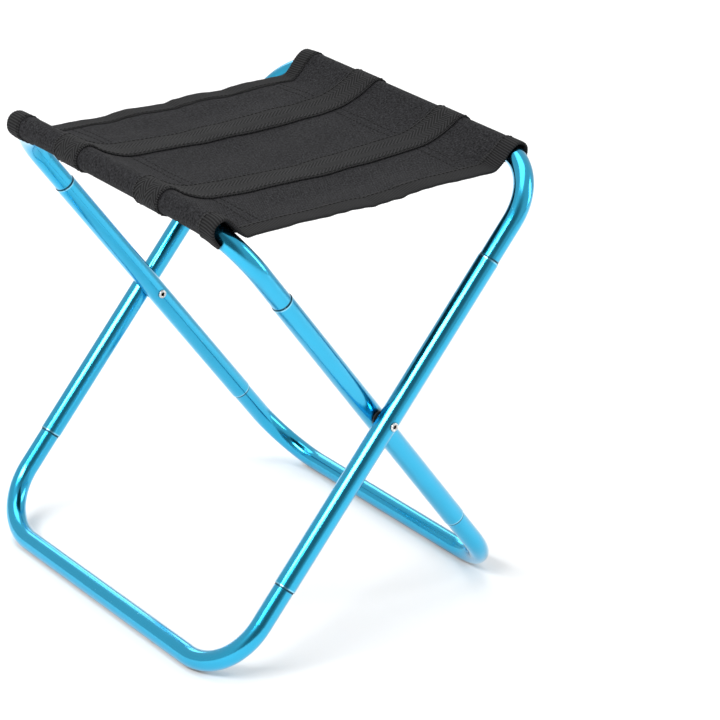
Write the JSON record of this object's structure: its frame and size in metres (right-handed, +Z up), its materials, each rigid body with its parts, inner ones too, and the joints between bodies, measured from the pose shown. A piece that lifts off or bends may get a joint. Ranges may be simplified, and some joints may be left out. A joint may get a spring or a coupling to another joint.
{
  "type": "folding camp stool",
  "caption": "Backless folding camp stool: two crossed frames of bent blue tube riveted at the legs, with a black cloth seat sewn round the two top bars.",
  "frame": {"origin": "on the floor under the middle of the open stool", "axes": "+Z up; Y along the top and foot bars; the outer frame's top bar is on the +X side"},
  "size_m": [0.2242, 0.2454, 0.2714],
  "materials": {
    "blue_tube": "cyan-blue anodised, glossy",
    "rivet_steel": "bright nickel-plated rolled rivet",
    "nylon": "black nylon",
    "oxford_cloth": "black plain-weave Oxford polyester",
    "webbing": "black herringbone webbing",
    "binding_tape": "black ribbed grosgrain tape"
  },
  "bodies": {
    "outer_frame": {"outer_top_bend": "blue_tube", "outer_foot_bend": "blue_tube", "outer_leg_near": "blue_tube", "outer_leg_far": "blue_tube", "pivot_rivet_near": "rivet_steel", "pivot_rivet_far": "rivet_steel", "pivot_washer_near": "nylon", "pivot_washer_far": "nylon", "seat_cloth": "oxford_cloth", "seat_strap_near": "webbing", "seat_strap_far": "webbing", "edge_binding_near": "binding_tape", "edge_binding_far": "binding_tape"},
    "inner_frame": {"inner_top_bend": "blue_tube", "inner_foot_bend": "blue_tube", "inner_leg_near": "blue_tube", "inner_leg_far": "blue_tube"}
  },
  "joints": [
    {"name": "fold", "type": "hinge", "parent": "outer_frame", "child": "inner_frame", "pos_m": [0, 0, 0.13458], "axis": [0, 1, 0], "range_deg": [0, 72], "deforming": ["seat_cloth", "seat_strap_near", "seat_strap_far", "edge_binding_near", "edge_binding_far"]}
  ]
}
